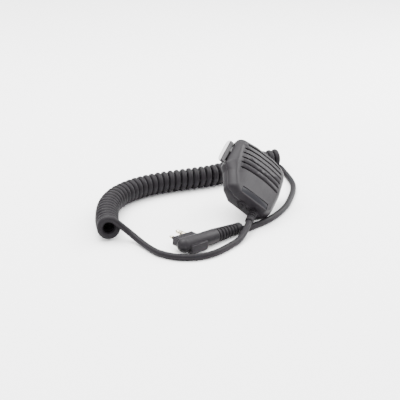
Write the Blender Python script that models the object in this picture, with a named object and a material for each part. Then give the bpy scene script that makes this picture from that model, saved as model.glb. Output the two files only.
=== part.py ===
"""Compact speaker microphone with a curly cord and a right-angle two-pin radio plug.

The housing is modelled in its own frame (x to its right, y towards its top, z out of its
face, millimetres, origin in the middle of the bottom end on the rear of the parting) and is
then placed, leaning on its lower right edge and its clip, by the empty "housing_frame".  The
cord and the plug lie on the surface z = 0.  All measures below are millimetres unless a name says degrees.
"""
import math

import bmesh
import bpy
from mathutils import Matrix, Vector

MM = 0.001
GAP = 0.3                                   # between pieces that touch

# ---- where things lie ---------------------------------------------------------------
TABLE_SHIFT = (-39.8, 25.2)                  # puts the origin under the housing
HOUSING_AT = (32.1, -50.6, 12.72)
HOUSING_TURN_DEGREES = (27.4, 39.9, 7.0)
PLUG_AT = (-10.9, -102.8, 7.5)               # middle of the plug's domed end
PLUG_TURN_DEGREES = (0.0, 3.3, 43.6)

# ---- housing ------------------------------------------------------------------------
WALL = 1.8
PARTING_Z = 4.8
REAR_Z = -3.0
CROWN_TOP_Z = 16.4
CROWN_CENTRE_Y = 36.0
CROWN_RADIUS_X = 85.0
CROWN_RADIUS_Y = 100.0
CROWN_STRAIGHT_BELOW_Y = 24.0
CROWN_STRAIGHT_SLOPE = 0.11
# corners (x, y, rounding radius), from the bottom right corner anticlockwise
PARTING_CORNERS = [(13.3, 0.0, 2.6), (19.8, 5.0, 5.0), (24.2, 26.0, 22.0), (26.0, 46.0, 10.0),
                   (24.2, 57.5, 6.0), (10.0, 61.3, 18.0), (-10.0, 61.3, 18.0), (-22.4, 59.0, 5.0),
                   (-23.3, 53.0, 6.0), (-28.0, 25.4, 3.6), (-24.6, 20.0, 3.0), (-20.6, 4.5, 5.0),
                   (-13.3, 0.0, 2.6)]
CREST_CORNERS = [(12.0, 0.0, 2.6), (15.6, 5.6, 5.0), (19.8, 26.0, 22.0), (21.2, 46.0, 10.0),
                 (19.2, 51.4, 6.0), (9.0, 53.6, 18.0), (-9.0, 53.6, 18.0), (-18.2, 52.0, 5.0),
                 (-20.8, 48.0, 6.0), (-20.6, 30.0, 6.0), (-19.0, 18.0, 8.0), (-15.6, 5.6, 5.0),
                 (-12.0, 0.0, 2.6)]
REAR_CORNERS = [(13.0, 0.8, 2.6), (17.0, 7.4, 5.0), (20.6, 26.0, 22.0), (22.0, 46.0, 10.0),
                (20.6, 54.4, 6.0), (9.0, 57.6, 18.0), (-9.0, 57.6, 18.0), (-19.0, 55.6, 5.0),
                (-20.6, 50.0, 6.0), (-23.4, 27.0, 3.0), (-21.0, 22.0, 3.0), (-17.0, 7.4, 5.0),
                (-13.0, 0.8, 2.6)]
CORNER_STEPS = 2
FACE_MIDDLE_Y = 28.0

SLOT_HALF_LENGTHS = (17.7, 18.3, 18.9, 18.9, 18.4, 16.6)
SLOT_FIRST_Y = 23.8
SLOT_PITCH = 5.3
SLOT_WIDTH = 1.5

STRIP_Y = (1.6, 6.4)
STRIP_HALF_WIDTH = 12.2
STRIP_THICK = 0.7
STRIP_RECESS = 1.9                          # depth of its recess at the low edge

# x, y of each case screw and the height of the post it is driven into
SCREW_PLACES = ((14.5, 9.5, 12.0), (-14.5, 9.5, 12.0), (16.4, 51.6, 10.6), (-16.4, 51.6, 10.6))
SCREW_HEAD_RADIUS = 2.4
SCREW_HEAD_HEIGHT = 0.7
SCREW_SHAFT_RADIUS = 1.1
SCREW_TIP_Z = 9.0
POST_RADIUS = 2.5

# ---- speaker and the electronics ----------------------------------------------------
SPEAKER_Y = 36.0
SPEAKER_RADIUS = 16.8
SPEAKER_FRONT_Z = 11.6
BOARD_Z = (2.2, 3.2)

JACK_AT = (-4.3, 2.3)                        # x, z of the earphone jack in the bottom end
JACK_BODY_RADIUS = 3.0
JACK_BORE_RADIUS = 1.8
JACK_RING_RADIUS = 3.5
CAPSULE_AT = (1.1, 2.6)
CAPSULE_RADIUS = 1.6
GLAND_AT = (6.8, 3.9)
GLAND_LEAN_DEGREES = -9.0
GLAND_LENGTH = 12.1

# ---- push-to-talk button ------------------------------------------------------------
PTT_AT = (-25.65, 39.0, 1.0)
PTT_LEAN_DEGREES = -9.5
PTT_BAR_Y = (-14.3, 13.3)
# outline (y, z) of the bar: straight along the face side, an arc along the rear side
PTT_BAR_OUTLINE = [(13.3, 4.2), (-14.3, 4.2), (-14.3, 3.0), (-13.0, 1.6), (-11.0, 0.4), (-7.0, -0.8),
                   (-1.0, -1.5), (5.0, -1.6), (10.0, -1.2), (12.4, 0.1), (13.3, 2.6)]
PTT_BAR_X = (-0.9, -4.2)                     # inner and outer side of the bar
PTT_PAD_LAYERS = ((0.4, -4.5), (0.6, -4.9), (1.6, -5.6))   # how far drawn in, and x
PTT_PAD_CENTRE_Z = 2.0
PTT_PAD_HALF_WIDTH = 3.6
PTT_PAD_TOP_Z = 3.3
PTT_SEAL_X = (2.9, 3.3)
PTT_STEM_END = 4.2
PTT_TRAVEL = 1.2

# ---- rear clip ----------------------------------------------------------------------
CLIP_PIVOT_Y = 33.0
CLIP_HINGE = (8.0, -9.6)                     # y, z of the jaw's hinge pin from the pivot
CLIP_HALF_WIDTH = 10.5
CLIP_PLATE_Y = (-24.0, 14.0)                 # from the pivot
CLIP_PLATE_THICK = 1.4
CLIP_EAR_THICK = 1.5
DETENT_THICK = 0.9
WASHER_THICK = 0.4
CLIP_TURN_DEGREES = 35.0                     # how far the clip rests from straight down

# ---- plug ---------------------------------------------------------------------------
PLUG_RADIUS = 5.25
PLUG_BARREL = 30.6
PLUG_RELIEF = 25.1
RELIEF_RADII = (5.2, 4.15)
RELIEF_GROOVES = 6
RELIEF_PITCH = 3.2
PINS = (("small", 3.3, 1.25, 7.2), ("large", 13.7, 1.75, 12.2))   # name, along, radius, length
PIN_FACE = 11.4

# ---- cord ---------------------------------------------------------------------------
CORD_RADIUS = 2.4
COIL_RADIUS = 8.85
TUBE_SPACING = 10.0
COIL_SPACING = 8.0
# route points (x, y, z) before TABLE_SHIFT
TAIL_1_ROUTE = [(35.8, -63.6, 7.7), (34.7, -67.3, 6.7), (33.1, -71.6, 5.3), (30.8, -77.2, 3.7),
                (27.2, -84.4, 2.6), (18.9, -95.4, 2.45), (11.6, -103.6, 2.45),
                (3.0, -109.4, 2.45), (-6.9, -111.7, 2.45), (-17.9, -110.6, 2.45),
                (-28.0, -105.2, 2.45), (-33.9, -98.8, 2.45), (-38.9, -91.8, 2.6),
                (-43.2, -85.8, 3.2), (-47.3, -81.2, 4.6), (-51.4, -78.4, 7.0),
                (-55.5, -77.2, 10.0), (-59.2, -77.1, 13.0), (-62.8, -77.4, 15.4),
                (-65.4, -77.0, 16.2), (-67.4, -75.6, 15.7)]
COIL_ROUTE = [(-66.9, -72.2, 9.5), (-67.9, -65.0, 8.95), (-68.6, -60.0, 8.95),
              (-69.6, -44.8, 8.95), (-68.9, -31.5, 8.95), (-65.0, -17.5, 8.95),
              (-58.5, -6.4, 8.95), (-50.0, 3.0, 8.95), (-39.5, 10.8, 8.95),
              (-27.4, 17.2, 8.95), (-14.5, 22.4, 8.95), (0.0, 28.2, 8.95), (12.0, 33.8, 8.95),
              (28.0, 45.4, 8.95), (45.0, 58.8, 8.95), (53.0, 65.5, 8.95), (60.5, 70.0, 8.95),
              (64.4, 71.9, 8.95)]
TAIL_2_ROUTE = [(68.2, 71.2, 2.45), (69.8, 67.0, 2.45), (71.1, 60.6, 2.45), (74.5, 45.0, 2.45),
                (76.5, 29.5, 2.45), (74.9, 11.5, 2.45), (69.2, -12.1, 2.45), (64.9, -23.6, 2.45),
                (59.6, -34.0, 2.45), (52.2, -45.0, 2.45), (45.6, -52.2, 2.45),
                (39.2, -58.0, 2.45), (35.4, -61.9, 2.4), (32.7, -63.3, 2.6), (30.3, -64.2, 3.8)]


# ---- scene and materials ------------------------------------------------------------
def clear_scene():
    for thing in list(bpy.data.objects):
        bpy.data.objects.remove(thing, do_unlink=True)


def material(name, colour, roughness, metallic=0.0):
    made = bpy.data.materials.get(name) or bpy.data.materials.new(name)
    made.use_nodes = True
    shader = made.node_tree.nodes["Principled BSDF"]
    shader.inputs["Base Color"].default_value = (*colour, 1.0)
    shader.inputs["Roughness"].default_value = roughness
    shader.inputs["Metallic"].default_value = metallic
    return made


def frame(name, parent=None, at=(0, 0, 0), turn=(0, 0, 0)):
    empty = bpy.data.objects.new(name, None)
    bpy.context.scene.collection.objects.link(empty)
    empty.location = Vector(at) * MM
    empty.rotation_euler = [math.radians(angle) for angle in turn]
    empty.parent = parent
    return empty


def piece(name, shape, skin, parent=None, at=(0, 0, 0), turn=(0, 0, 0)):
    """Turns a bmesh in millimetres into a named object; at and turn are in its parent's frame."""
    bmesh.ops.scale(shape, vec=(MM, MM, MM), verts=shape.verts)
    bmesh.ops.remove_doubles(shape, verts=shape.verts, dist=1e-7)
    bmesh.ops.recalc_face_normals(shape, faces=shape.faces)
    bmesh.ops.triangulate(shape, faces=shape.faces)      # the caps of domed pieces aren't flat
    mesh = bpy.data.meshes.new(name)
    shape.to_mesh(mesh)
    shape.free()
    mesh.materials.append(material(*skin))
    mesh.shade_smooth()
    mesh.set_sharp_from_angle(angle=math.radians(35))
    made = bpy.data.objects.new(name, mesh)
    bpy.context.scene.collection.objects.link(made)
    made.location = Vector(at) * MM
    made.rotation_euler = [math.radians(angle) for angle in turn]
    made.parent = parent
    return made


def combine(target, others, operation):
    """Cuts away or adds closed helper objects with exact booleans, then hides the helpers."""
    for other in others:
        step = target.modifiers.new(f"{operation.lower()}_{other.name}", "BOOLEAN")
        step.object = other
        step.operation = operation
        step.solver = "EXACT"
        other.hide_render = True
        other.display_type = "WIRE"
    return target


BLACK = ("housing_black", (0.035, 0.035, 0.038), 0.42)
RUBBER = ("rubber_black", (0.022, 0.022, 0.024), 0.6)
CORD_SKIN = ("cord_black", (0.03, 0.03, 0.032), 0.48)
BUTTON = ("button_black", (0.04, 0.04, 0.043), 0.5)
PAD_GREY = ("button_pad_grey", (0.55, 0.56, 0.57), 0.3)
STRIP = ("strip_blue_grey", (0.07, 0.075, 0.095), 0.3)
GOLD = ("contact_gold", (0.83, 0.62, 0.27), 0.25, 1.0)
STEEL = ("bright_steel", (0.62, 0.62, 0.62), 0.3, 1.0)
DARK_STEEL = ("black_steel", (0.09, 0.09, 0.095), 0.4, 1.0)
BOARD_GREEN = ("board_green", (0.03, 0.16, 0.07), 0.45)
FELT = ("felt_black", (0.015, 0.015, 0.015), 0.95)
CONE = ("cone_paper", (0.05, 0.05, 0.055), 0.8)
INSULATOR = ("insulator_black", (0.02, 0.02, 0.02), 0.5)
CUTTER = ("cutter", (1.0, 0.2, 0.2), 0.5)


# ---- shape helpers ------------------------------------------------------------------
def circle(radius, count):
    return [(radius * math.cos(2 * math.pi * k / count), radius * math.sin(2 * math.pi * k / count))
            for k in range(count)]


def rounded(corners, steps=CORNER_STEPS):
    """Rounds each corner (x, y, radius) of a closed polygon with an arc of steps pieces."""
    points = []
    for index, (x, y, radius) in enumerate(corners):
        here = Vector((x, y))
        before = (Vector(corners[index - 1][:2]) - here).normalized()
        after = (Vector(corners[(index + 1) % len(corners)][:2]) - here).normalized()
        half = before.angle(after) / 2
        tangent = min(radius / math.tan(half), 5.0)
        radius = tangent * math.tan(half)
        centre = here + (before + after).normalized() * (radius / math.sin(half))
        start = here + before * tangent - centre
        end = here + after * tangent - centre
        sweep = start.angle_signed(end)
        for step in range(steps + 1):
            angle = -sweep * step / steps
            turned = Matrix.Rotation(angle, 2) @ start
            points.append((centre.x + turned.x, centre.y + turned.y))
    return points


def between(outer, inner, share):
    """The outline a share of the way from one list of corners to another."""
    return [tuple(a + (b - a) * share for a, b in zip(first, second))
            for first, second in zip(outer, inner)]


def moved_in(points, distance):
    """Moves every point of an anticlockwise outline inwards."""
    result = []
    count = len(points)
    for index, (x, y) in enumerate(points):
        ahead = points[(index + 1) % count]
        behind = points[index - 1]
        along = Vector((ahead[0] - behind[0], ahead[1] - behind[1])).normalized()
        result.append((x - along.y * distance, y + along.x * distance))
    return result


def loft(rings, closed=False):
    """Joins rings of equal length; caps the two ends, or joins them when closed."""
    shape = bmesh.new()
    loops = [[shape.verts.new(point) for point in ring] for ring in rings]
    pairs = list(zip(loops, loops[1:]))
    if closed:
        pairs.append((loops[-1], loops[0]))
    for first, second in pairs:
        count = len(first)
        for k in range(count):
            shape.faces.new((first[k], first[(k + 1) % count], second[(k + 1) % count], second[k]))
    if not closed:
        shape.faces.new(loops[0])
        shape.faces.new(loops[-1])
    return shape


def turned(profile, sides=20, axis="Z"):
    """Turns a profile of (radius, height) about an axis; both ends lie on it when radius is 0."""
    shape = bmesh.new()
    loops = []
    for radius, height in profile:
        if radius == 0:
            loops.append([shape.verts.new((0, 0, height))])
        else:
            loops.append([shape.verts.new((x, y, height)) for x, y in circle(radius, sides)])
    if profile[0][0] > 0 and profile[0] == profile[-1]:
        loops[-1] = loops[0]
    for first, second in zip(loops, loops[1:]):
        for k in range(sides):
            following = (k + 1) % sides
            if len(first) == 1:
                shape.faces.new((first[0], second[k], second[following]))
            elif len(second) == 1:
                shape.faces.new((first[k], first[following], second[0]))
            else:
                shape.faces.new((first[k], first[following], second[following], second[k]))
    turns = {"Z": Matrix.Identity(3), "X": Matrix.Rotation(math.pi / 2, 3, "Y"),
             "Y": Matrix.Rotation(-math.pi / 2, 3, "X")}
    bmesh.ops.transform(shape, matrix=turns[axis].to_4x4(), verts=shape.verts)
    return shape


def rod(radius, low, high, sides=16, axis="Z"):
    return turned([(0, low), (radius, low), (radius, high), (0, high)], sides, axis)


def tube(outer, inner, low, high, sides=20, axis="Z"):
    return turned([(outer, low), (outer, high), (inner, high), (inner, low), (outer, low)],
                  sides, axis)


def block(low, high):
    shape = bmesh.new()
    size = Vector(high) - Vector(low)
    place = Matrix.Translation((Vector(high) + Vector(low)) / 2) @ Matrix.Diagonal((*size, 1))
    bmesh.ops.create_cube(shape, size=1.0, matrix=place)
    return shape


def rounded_block(low, high, edge, steps=2):
    """A block with its upright edges (along z) rounded."""
    x0, y0, z0 = low
    x1, y1, z1 = high
    outline = rounded([(x1, y0, edge), (x1, y1, edge), (x0, y1, edge), (x0, y0, edge)], steps)
    return loft([[(x, y, z0) for x, y in outline], [(x, y, z1) for x, y in outline]])


def shifted(shape, offset):
    bmesh.ops.translate(shape, vec=offset, verts=shape.verts)
    return shape


# ---- housing shells -----------------------------------------------------------------
def crown(x, y):
    """Height of the gently domed front face over the point (x, y)."""
    lowered = x * x / (2 * CROWN_RADIUS_X)
    if y < CROWN_STRAIGHT_BELOW_Y:
        edge = (CROWN_STRAIGHT_BELOW_Y - CROWN_CENTRE_Y) ** 2 / (2 * CROWN_RADIUS_Y)
        lowered += edge + CROWN_STRAIGHT_SLOPE * (CROWN_STRAIGHT_BELOW_Y - y)
    else:
        lowered += (y - CROWN_CENTRE_Y) ** 2 / (2 * CROWN_RADIUS_Y)
    return CROWN_TOP_Z - lowered


def flat_ring(outline, z):
    return [(x, y, z) for x, y in outline]


def front_rings(inset):
    """Outline rings from the parting up to the crest and over the domed face."""
    rings = []
    for share, z in ((0.0, PARTING_Z + GAP / 2), (0.04, 8.0), (0.45, 10.8), (0.73, 12.6)):
        outline = moved_in(rounded(between(PARTING_CORNERS, CREST_CORNERS, share)), inset)
        height = z - inset * share
        rings.append([(x, y, min(height, crown(x, y) - inset - 0.05)) for x, y in outline])
    crest = moved_in(rounded(CREST_CORNERS), inset * 0.4)
    for scale in (1.0, 0.7, 0.4):
        outline = [(x * scale, FACE_MIDDLE_Y + (y - FACE_MIDDLE_Y) * scale) for x, y in crest]
        rings.append([(x, y, crown(x, y) - inset) for x, y in outline])
    return rings


def rear_rings(inset):
    rings = []
    floor = REAR_Z + inset
    for share, z in ((0.0, PARTING_Z - GAP / 2), (0.04, 1.2), (0.3, -1.6), (1.0, REAR_Z)):
        outline = moved_in(rounded(between(PARTING_CORNERS, REAR_CORNERS, share)), inset)
        rings.append(flat_ring(outline, max(z, floor + 0.01 * (1 - share))))
    return rings


def shell(rings_of):
    """A closed cup: outer skin, inner skin and the rim between them."""
    outer = rings_of(0.0)
    inner = rings_of(WALL)
    return loft(outer[::-1] + inner)


def slot_cutter(housing, index):
    half = SLOT_HALF_LENGTHS[index]
    y = SLOT_FIRST_Y + SLOT_PITCH * index
    edge = SLOT_WIDTH / 2 - 0.01
    cut = rounded_block((-half, y - SLOT_WIDTH / 2, 8.0), (half, y + SLOT_WIDTH / 2, 20.0), edge)
    return piece(f"slot_cutter_{index + 1}", cut, CUTTER, housing)


def make_front_case(housing):
    case = piece("front_case", shell(front_rings), BLACK, housing)
    posts = []
    for number, (x, y, top) in enumerate(SCREW_PLACES, 1):
        post = shifted(rod(POST_RADIUS, PARTING_Z + 0.5, top, 12), (x, y, 0))
        posts.append(piece(f"post_{number}", post, CUTTER, housing))
    low, high = STRIP_Y
    floor = crown(0, low) - STRIP_RECESS
    backing = block((1.2 - STRIP_HALF_WIDTH, 0.4, floor - 1.2),
                    (STRIP_HALF_WIDTH - 1.2, high + 1.0, floor + 0.3))
    combine(case, [*posts, piece("strip_backing", backing, CUTTER, housing)], "UNION")
    cutters = [slot_cutter(housing, index) for index in range(len(SLOT_HALF_LENGTHS))]
    for number, (x, y, _) in enumerate(SCREW_PLACES, 1):
        hole = rod(SCREW_SHAFT_RADIUS + GAP, 0.0, SCREW_TIP_Z + GAP, 10)
        cutters.append(piece(f"post_hole_{number}", hole, CUTTER, housing, (x, y, 0), (0, 0, 8)))
    recess = block((-STRIP_HALF_WIDTH - GAP, low - GAP, floor),
                   (STRIP_HALF_WIDTH + GAP, high + GAP, floor + 6.0))
    cutters.append(piece("strip_recess", recess, CUTTER, housing))
    combine(case, cutters, "DIFFERENCE")
    return floor


def make_rear_case(housing):
    case = piece("rear_case", shell(rear_rings), BLACK, housing)
    cutters = []
    for number, (x, y, _) in enumerate(SCREW_PLACES, 1):
        hole = turned([(0, REAR_Z - 1), (SCREW_HEAD_RADIUS + GAP, REAR_Z - 1),
                       (SCREW_HEAD_RADIUS + GAP, REAR_Z + SCREW_HEAD_HEIGHT + GAP),
                       (SCREW_SHAFT_RADIUS + GAP, REAR_Z + SCREW_HEAD_HEIGHT + GAP),
                       (SCREW_SHAFT_RADIUS + GAP, 4.0), (0, 4.0)], 12)
        cutters.append(piece(f"screw_hole_{number}", shifted(hole, (x, y, 0)), CUTTER, housing))
    jack = shifted(rod(JACK_BODY_RADIUS - 0.6, -2.0, 3.0, 16, "Y"), (JACK_AT[0], 0, JACK_AT[1]))
    port = shifted(rod(0.5, -2.0, 3.0, 8, "Y"), (CAPSULE_AT[0], 0, CAPSULE_AT[1]))
    pivot = shifted(rod(3.0, REAR_Z - 1, 1.0, 20), (0, CLIP_PIVOT_Y, 0))
    cutters.append(piece("jack_hole", jack, CUTTER, housing))
    cutters.append(piece("microphone_port", port, CUTTER, housing))
    cutters.append(piece("pivot_hole", pivot, CUTTER, housing))
    window = block((-4.0, -5.0, -1.7), (4.5, 5.0, 2.4))
    cutters.append(piece("button_window", window, CUTTER, housing, PTT_AT,
                         (0, 0, PTT_LEAN_DEGREES)))
    combine(case, cutters, "DIFFERENCE")


def cut_shared_openings(housing):
    """The gland's hole and the button's pocket, which both straddle the parting."""
    low, high = PTT_BAR_Y
    for name in ("front_case", "rear_case"):
        pocket = piece(f"button_pocket_{name}", block((-8.0, low - 0.5, -2.6), (0.6, high + 0.5, 4.6)),
                       CUTTER, housing, PTT_AT, (0, 0, PTT_LEAN_DEGREES))
        combine(bpy.data.objects[name], [pocket], "DIFFERENCE")
        hole = rod(3.3, -5.0, 5.0, 16, "Y")
        cutter = piece(f"gland_hole_{name}", hole, CUTTER, housing,
                       (GLAND_AT[0], 0, GLAND_AT[1]), (0, 0, GLAND_LEAN_DEGREES))
        combine(bpy.data.objects[name], [cutter], "DIFFERENCE")


def make_gasket(housing):
    """A rubber strip round the parting, open along the bottom end where cord and jack pass."""
    outer = moved_in(rounded(PARTING_CORNERS), WALL + GAP + 0.2)
    inner = moved_in(outer, 0.8)
    low, high = PARTING_Z - 0.7, PARTING_Z + 0.7
    sections = [[(*out, low), (*out, high), (*into, high), (*into, low)]
                for out, into in zip(outer, inner)]
    skipped = CORNER_STEPS + 1
    piece("case_gasket", loft(sections[skipped:-skipped]), RUBBER, housing)


def make_name_strip(housing, floor):
    low, high = STRIP_Y
    plate = rounded_block((-STRIP_HALF_WIDTH, low, floor + GAP),
                          (STRIP_HALF_WIDTH, high, floor + GAP + STRIP_THICK), 0.6)
    return piece("name_strip", plate, STRIP, housing)


def make_case_screws(housing):
    for number, (x, y, _) in enumerate(SCREW_PLACES, 1):
        screw = turned([(0, REAR_Z + 0.25), (0.9, REAR_Z + 0.25), (0.9, REAR_Z),
                        (SCREW_HEAD_RADIUS, REAR_Z),
                        (SCREW_HEAD_RADIUS, REAR_Z + SCREW_HEAD_HEIGHT),
                        (SCREW_SHAFT_RADIUS, REAR_Z + SCREW_HEAD_HEIGHT),
                        (SCREW_SHAFT_RADIUS, SCREW_TIP_Z - 0.8), (0, SCREW_TIP_Z)], 12)
        piece(f"case_screw_{number}", screw, DARK_STEEL, housing, (x, y, 0))


# ---- speaker, board and microphone --------------------------------------------------
def make_speaker(housing):
    front = SPEAKER_FRONT_Z
    edge = SPEAKER_RADIUS
    at = (0, SPEAKER_Y, 0)
    basket = turned([(edge, front), (edge, front - 1.2), (10.0, front - 4.4), (7.4, front - 4.4),
                     (7.4, front - 3.8), (9.8, front - 3.8), (edge - 1.6, front - 0.7),
                     (edge - 1.6, front), (edge, front)], 24)
    piece("speaker_basket", basket, STEEL, housing, at)
    cone = turned([(0, front - 1.6), (4.0, front - 2.0), (6.0, front - 2.8), (edge - 2.4, front - 0.6),
                   (edge - 2.4, front - 0.2), (6.0, front - 2.4), (4.0, front - 1.6),
                   (0, front - 1.2)], 24)
    piece("speaker_cone", cone, CONE, housing, at)
    magnet = rod(7.0, BOARD_Z[1] + 0.7, front - 3.7, 24)
    piece("speaker_magnet", magnet, STEEL, housing, at)
    piece("grille_felt", rod(edge, front + GAP, front + 0.8, 24), FELT, housing, at)


def make_board(housing):
    low, high = BOARD_Z
    outline = rounded([(18.0, 13.6, 1.0), (18.6, 46.0, 2.0), (12.0, 54.5, 2.0), (-12.0, 54.5, 2.0),
                       (-16.6, 46.0, 2.0), (-16.6, 13.6, 1.0)], 2)
    board = loft([flat_ring(outline, low), flat_ring(outline, high)])
    piece("circuit_board", board, BOARD_GREEN, housing)
    piece("board_capacitor", rod(2.0, high + GAP, high + 4.2, 12), STEEL, housing, (9.5, 17.0, 0))
    chip = block((-6.0, 15.4, high + GAP), (1.0, 20.4, high + 1.9))
    piece("board_chip", chip, INSULATOR, housing)


def make_microphone(housing):
    x, z = CAPSULE_AT
    front = WALL + 0.9
    capsule = rod(CAPSULE_RADIUS - 0.4, front, front + 2.2, 16, "Y")
    piece("microphone_capsule", capsule, STEEL, housing, (x, 0, z))
    boot = tube(CAPSULE_RADIUS + 0.1, CAPSULE_RADIUS - 0.1, front - 0.4, front + 2.6, 16, "Y")
    piece("capsule_boot", boot, RUBBER, housing, (x, 0, z))


def make_jack(housing):
    x, z = JACK_AT
    start = WALL + 0.5
    body = tube(JACK_BODY_RADIUS, JACK_BORE_RADIUS + 0.1, start, start + 10.0, 20, "Y")
    piece("earphone_jack", body, INSULATOR, housing, (x, 0, z))
    ring = tube(JACK_RING_RADIUS, 2.5, -1.0, -GAP, 24, "Y")
    piece("jack_ring", ring, BLACK, housing, (x, 0, z))
    cap = turned([(0, -1.3), (1.9, -1.3), (2.2, -1.0), (2.2, -0.25), (JACK_BORE_RADIUS - 0.3, -0.25),
                  (JACK_BORE_RADIUS - 0.3, start + 4.5), (0, start + 5.0)], 20, "Y")
    return piece("jack_cap", cap, RUBBER, housing, (x, 0, z))


def make_gland(housing):
    x, z = GLAND_AT
    end = -GLAND_LENGTH
    profile = [(0, 4.4), (3.9, 4.4), (3.9, 3.0), (2.9, 3.0), (2.9, -0.9), (3.6, -0.9), (3.6, -1.8)]
    height = -1.8
    for radius in (3.4, 3.2, 3.0):
        profile += [(radius - 0.6, height), (radius - 0.6, height - 0.8),
                    (radius + 0.1, height - 0.8), (radius + 0.1, height - 2.2)]
        height -= 2.2
    profile += [(2.8, height), (3.2, end + 3.2), (3.2, end + 0.6), (3.0, end), (0, end)]
    gland = turned(profile, 16, "Y")
    piece("cord_gland", gland, RUBBER, housing, (x, 0, z), (0, 0, GLAND_LEAN_DEGREES))
    clamp = rounded_block((x - 3.2, 5.2, 2.4), (x + 4.4, 8.6, 4.6), 0.8)
    piece("cord_clamp", clamp, INSULATOR, housing)


# ---- push-to-talk -------------------------------------------------------------------
def make_button(housing):
    """The button slides along its own x, into the housing."""
    lean = (0, 0, PTT_LEAN_DEGREES)
    bar = loft([[(x, y, z) for y, z in PTT_BAR_OUTLINE] for x in PTT_BAR_X])
    button = piece("ptt_button", bar, BUTTON, housing, PTT_AT, lean)
    stem = block((-3.0, -4.4, -1.1), (PTT_STEM_END, 4.4, 1.9))
    combine(button, [piece("button_stem", stem, CUTTER, housing, PTT_AT, lean)], "UNION")
    rings = [[(x, y, z) for y, z in pad_outline(inset)] for inset, x in PTT_PAD_LAYERS]
    piece("ptt_pad", loft(rings), PAD_GREY, housing, PTT_AT, lean)
    near, far = PTT_SEAL_X
    seal_outer = rounded([(7.0, -1.9, 0.8), (7.0, 2.9, 0.8), (-7.0, 2.9, 0.8), (-7.0, -1.9, 0.8)], 2)
    seal_inner = rounded([(4.8, -1.4, 0.4), (4.8, 2.2, 0.4), (-4.8, 2.2, 0.4), (-4.8, -1.4, 0.4)], 2)
    rings = [[(x, y, z) for y, z in outline] for x, outline in
             ((far, seal_outer), (near, seal_outer), (near, seal_inner), (far, seal_inner))]
    piece("ptt_seal", loft(rings, closed=True), RUBBER, housing, PTT_AT, lean)
    start = PTT_STEM_END + PTT_TRAVEL + GAP
    body = block((start, -3.0, -1.7), (start + 3.0, 3.0, 0.9))
    piece("ptt_switch", body, INSULATOR, housing, PTT_AT, lean)


def pad_outline(inset):
    """The bar's outline drawn in, further along its straight front edge."""
    middle_y = sum(PTT_BAR_Y) / 2
    half = (PTT_BAR_Y[1] - PTT_BAR_Y[0]) / 2
    points = []
    for y, z in PTT_BAR_OUTLINE:
        drawn = PTT_PAD_CENTRE_Z + (z - PTT_PAD_CENTRE_Z) * (1 - inset / PTT_PAD_HALF_WIDTH)
        points.append((middle_y + (y - middle_y) * (1 - inset / half),
                       min(drawn, PTT_PAD_TOP_Z - inset / 2)))
    return points


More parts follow.
